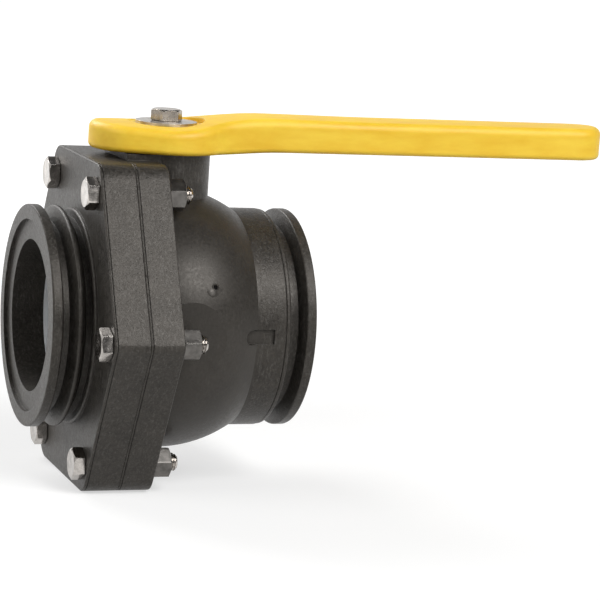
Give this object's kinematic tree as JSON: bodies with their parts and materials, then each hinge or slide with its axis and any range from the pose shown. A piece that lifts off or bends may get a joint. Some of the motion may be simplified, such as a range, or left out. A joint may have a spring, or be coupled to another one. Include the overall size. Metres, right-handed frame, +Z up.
{
  "type": "flanged ball valve",
  "caption": "Full-port plastic ball valve with a two-piece bolted body, hexagonal bolting flanges, clamp ends and a quarter-turn lever on top.",
  "frame": {"origin": "centre of the ball, where the pipe's axis meets the stem's axis, midway between the two end faces", "axes": "+X along the pipe from the inlet cap to the outlet, +Z up the stem to the lever, the lever points along +X when the valve is open"},
  "size_m": [0.3064, 0.1756, 0.1871],
  "materials": {
    "black_plastic": "fine matte grain",
    "yellow_plastic": "satin moulded",
    "stainless": "rolled and turned, satin",
    "seat_white": "smooth waxy",
    "black_rubber": "matte"
  },
  "bodies": {
    "housing": {"valve_body": "black_plastic", "end_cap": "black_plastic", "inlet_seat": "seat_white", "outlet_seat": "seat_white", "inlet_seat_oring": "black_rubber", "outlet_seat_oring": "black_rubber", "body_oring": "black_rubber", "flange_bolt_1": "stainless", "flange_bolt_2": "stainless", "flange_bolt_3": "stainless", "flange_bolt_4": "stainless", "flange_bolt_5": "stainless", "flange_bolt_6": "stainless", "flange_nut_1": "stainless", "flange_nut_2": "stainless", "flange_nut_3": "stainless", "flange_nut_4": "stainless", "flange_nut_5": "stainless", "flange_nut_6": "stainless"},
    "lever": {"handle": "yellow_plastic", "handle_washer": "stainless", "handle_bolt": "stainless", "stem": "stainless", "stem_thrust_washer": "seat_white", "stem_oring_lower": "black_rubber", "stem_oring_upper": "black_rubber"},
    "ball": {"ball": "black_plastic"}
  },
  "joints": [
    {"name": "handle_turn", "type": "hinge", "parent": "housing", "child": "lever", "pos_m": [0, 0, 0], "axis": [0, 0, 1], "range_deg": [-90, 0]},
    {"name": "ball_turn", "type": "hinge", "parent": "housing", "child": "ball", "pos_m": [0, 0, 0], "axis": [0, 0, 1], "range_deg": [-90, 0]}
  ],
  "couplings": [
    {"joint": "ball_turn", "follows": "handle_turn", "ratio": 1}
  ]
}
